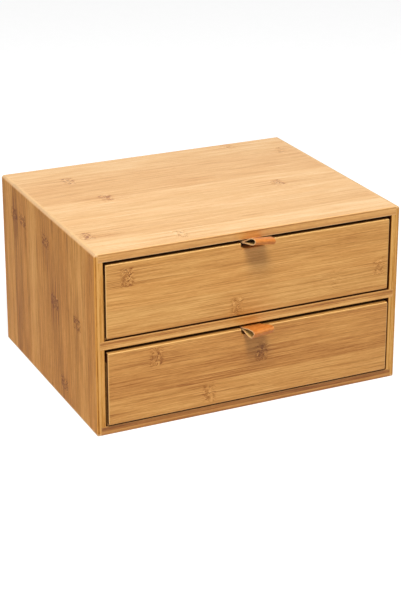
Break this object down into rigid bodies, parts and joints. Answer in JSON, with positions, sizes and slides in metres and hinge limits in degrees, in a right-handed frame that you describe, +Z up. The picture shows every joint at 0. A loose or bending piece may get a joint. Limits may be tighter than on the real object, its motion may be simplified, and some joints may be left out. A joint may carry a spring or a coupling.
{
  "type": "tabletop drawer chest",
  "caption": "Low bamboo tabletop chest with inset drawers one above the other, each divided for tea bag envelopes and opened by a folded leather loop.",
  "frame": {"origin": "centre of the case's flat underside", "axes": "+X along the width, to the right seen from the front; +Y from the drawer fronts to the back; +Z up"},
  "size_m": [0.3, 0.265, 0.17],
  "materials": {
    "bamboo": "laminated strips under a satin clear coat",
    "bamboo_ply": "thin sheet, satin clear coat",
    "leather": "smooth tan, semi-matte, pale raw edges",
    "screw_steel": "plated, satin"
  },
  "bodies": {
    "case": {"left_side_panel": "bamboo", "right_side_panel": "bamboo", "top_panel": "bamboo", "bottom_panel": "bamboo", "middle_shelf": "bamboo", "back_panel": "bamboo_ply"},
    "upper_drawer": {"upper_drawer_front": "bamboo", "upper_drawer_left_wall": "bamboo", "upper_drawer_right_wall": "bamboo", "upper_drawer_back_wall": "bamboo", "upper_drawer_base": "bamboo_ply", "upper_cross_divider": "bamboo", "upper_left_divider": "bamboo", "upper_right_divider": "bamboo", "upper_pull": "leather", "upper_pull_screws": "screw_steel"},
    "lower_drawer": {"lower_drawer_front": "bamboo", "lower_drawer_left_wall": "bamboo", "lower_drawer_right_wall": "bamboo", "lower_drawer_back_wall": "bamboo", "lower_drawer_base": "bamboo_ply", "lower_cross_divider": "bamboo", "lower_left_divider": "bamboo", "lower_right_divider": "bamboo", "lower_pull": "leather", "lower_pull_screws": "screw_steel"}
  },
  "joints": [
    {"name": "upper_drawer_slide", "type": "slide", "parent": "case", "child": "upper_drawer", "axis": [0, -1, 0], "range_m": [0, 0.176]},
    {"name": "lower_drawer_slide", "type": "slide", "parent": "case", "child": "lower_drawer", "axis": [0, -1, 0], "range_m": [-0.002, 0.174]}
  ]
}
